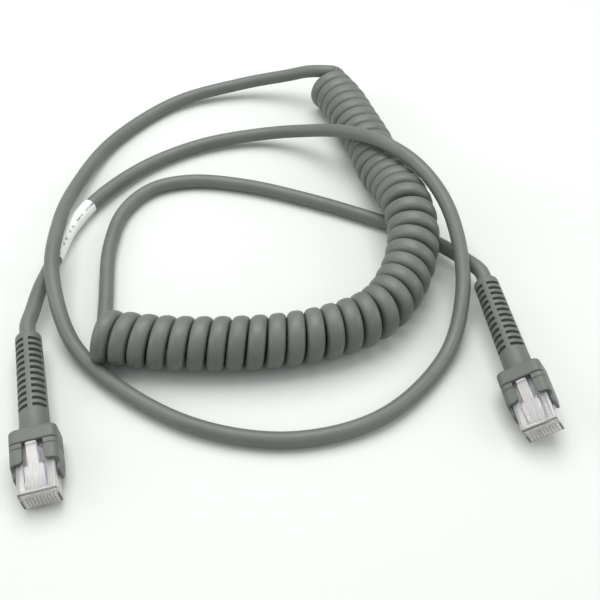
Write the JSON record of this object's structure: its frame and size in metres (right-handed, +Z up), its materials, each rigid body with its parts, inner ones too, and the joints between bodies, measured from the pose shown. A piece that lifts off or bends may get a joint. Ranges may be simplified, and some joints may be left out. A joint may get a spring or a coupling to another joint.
{
  "type": "coiled interface cable",
  "caption": "Grey coiled data cable with a clear modular plug, latch hood and slotted strain-relief boot at each end, lying in loose loops.",
  "frame": {"origin": "on the table under the middle of the box round the two plug assemblies", "axes": "+Z up from the table, +X from the host plug towards the scanner plug, +Y away from the plugs towards the coil and loops; both plugs point towards -Y"},
  "size_m": [0.1799, 0.2195, 0.0276],
  "materials": {
    "grey": "fine satin moulded PVC, slightly greenish mid grey",
    "clear": "clear polycarbonate, polished",
    "gold": "thin gold plating on stamped contacts, bright",
    "nylon": "natural nylon, milky",
    "paper": "white printed wrap with small grey marks, matt",
    "wire_white": "smooth thin wire insulation",
    "wire_brown": "smooth thin wire insulation",
    "wire_red": "smooth thin wire insulation",
    "wire_orange": "smooth thin wire insulation",
    "wire_yellow": "smooth thin wire insulation",
    "wire_green": "smooth thin wire insulation",
    "wire_blue": "smooth thin wire insulation",
    "wire_violet": "smooth thin wire insulation",
    "wire_grey": "smooth thin wire insulation",
    "wire_black": "smooth thin wire insulation"
  },
  "bodies": {
    "cable": {"host_plug_body": "clear", "host_load_bar": "nylon", "host_contact_01": "gold", "host_contact_02": "gold", "host_contact_03": "gold", "host_contact_04": "gold", "host_contact_05": "gold", "host_contact_06": "gold", "host_contact_07": "gold", "host_contact_08": "gold", "host_contact_09": "gold", "host_contact_10": "gold", "host_wire_01": "wire_white", "host_wire_02": "wire_brown", "host_wire_03": "wire_red", "host_wire_04": "wire_orange", "host_wire_05": "wire_yellow", "host_wire_06": "wire_green", "host_wire_07": "wire_blue", "host_wire_08": "wire_violet", "host_wire_09": "wire_grey", "host_wire_10": "wire_black", "host_inner_mould": "nylon", "host_jacket_end": "grey", "host_hood": "grey", "host_boot": "grey", "scanner_plug_body": "clear", "scanner_load_bar": "nylon", "scanner_contact_01": "gold", "scanner_contact_02": "gold", "scanner_contact_03": "gold", "scanner_contact_04": "gold", "scanner_contact_05": "gold", "scanner_contact_06": "gold", "scanner_contact_07": "gold", "scanner_contact_08": "gold", "scanner_contact_09": "gold", "scanner_contact_10": "gold", "scanner_wire_01": "wire_white", "scanner_wire_02": "wire_brown", "scanner_wire_03": "wire_red", "scanner_wire_04": "wire_orange", "scanner_wire_05": "wire_yellow", "scanner_wire_06": "wire_green", "scanner_wire_07": "wire_blue", "scanner_wire_08": "wire_violet", "scanner_wire_09": "wire_grey", "scanner_wire_10": "wire_black", "scanner_inner_mould": "nylon", "scanner_jacket_end": "grey", "scanner_hood": "grey", "scanner_boot": "grey", "host_lead": "grey", "coil": "grey", "scanner_lead": "grey", "label": "paper"},
    "host_latch_tab": {"host_latch": "clear"},
    "scanner_latch_tab": {"scanner_latch": "clear"}
  },
  "joints": [
    {"name": "host_latch_press", "type": "hinge", "parent": "cable", "child": "host_latch_tab", "pos_m": [-0.0709, -0.04084, 0.00896], "axis": [-0.9677, -0.2423, -0.0697], "range_deg": [0, 10.5], "stiffness_Nm_per_rad": 0.15},
    {"name": "scanner_latch_press", "type": "hinge", "parent": "cable", "child": "scanner_latch_tab", "pos_m": [0.08117, -0.0179, 0.01036], "axis": [-0.8581, -0.1182, -0.4997], "range_deg": [0, 10.5], "stiffness_Nm_per_rad": 0.15}
  ]
}
